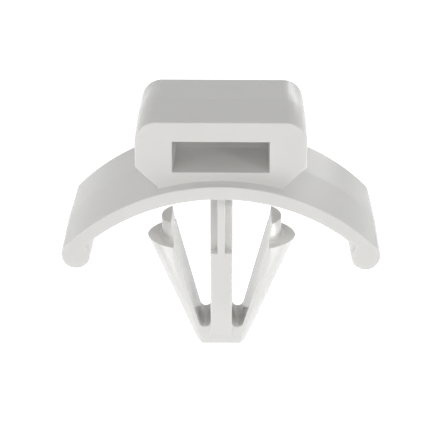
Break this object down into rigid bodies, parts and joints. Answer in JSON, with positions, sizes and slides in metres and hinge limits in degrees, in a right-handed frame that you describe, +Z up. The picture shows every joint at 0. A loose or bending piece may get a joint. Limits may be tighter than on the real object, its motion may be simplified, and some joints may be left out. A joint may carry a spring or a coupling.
{
  "type": "winged cable tie mount",
  "caption": "Moulded plastic cable tie mount with arched wings, a head with a flat slot for the tie, and a split barbed anchor that snaps into a panel hole.",
  "frame": {"origin": "on the anchor's axis, level with the underside of the beads along the wing's feet, where the panel's face lies", "axes": "+X from the middle to one wing's foot, along the width; +Y along the tie slot; +Z up from the panel through the head"},
  "size_m": [0.018, 0.0088, 0.0152],
  "materials": {
    "nylon": "natural nylon, off-white and opaque, with a smooth satin sheen"
  },
  "bodies": {
    "root": {"tie_mount": "nylon"}
  },
  "joints": []
}
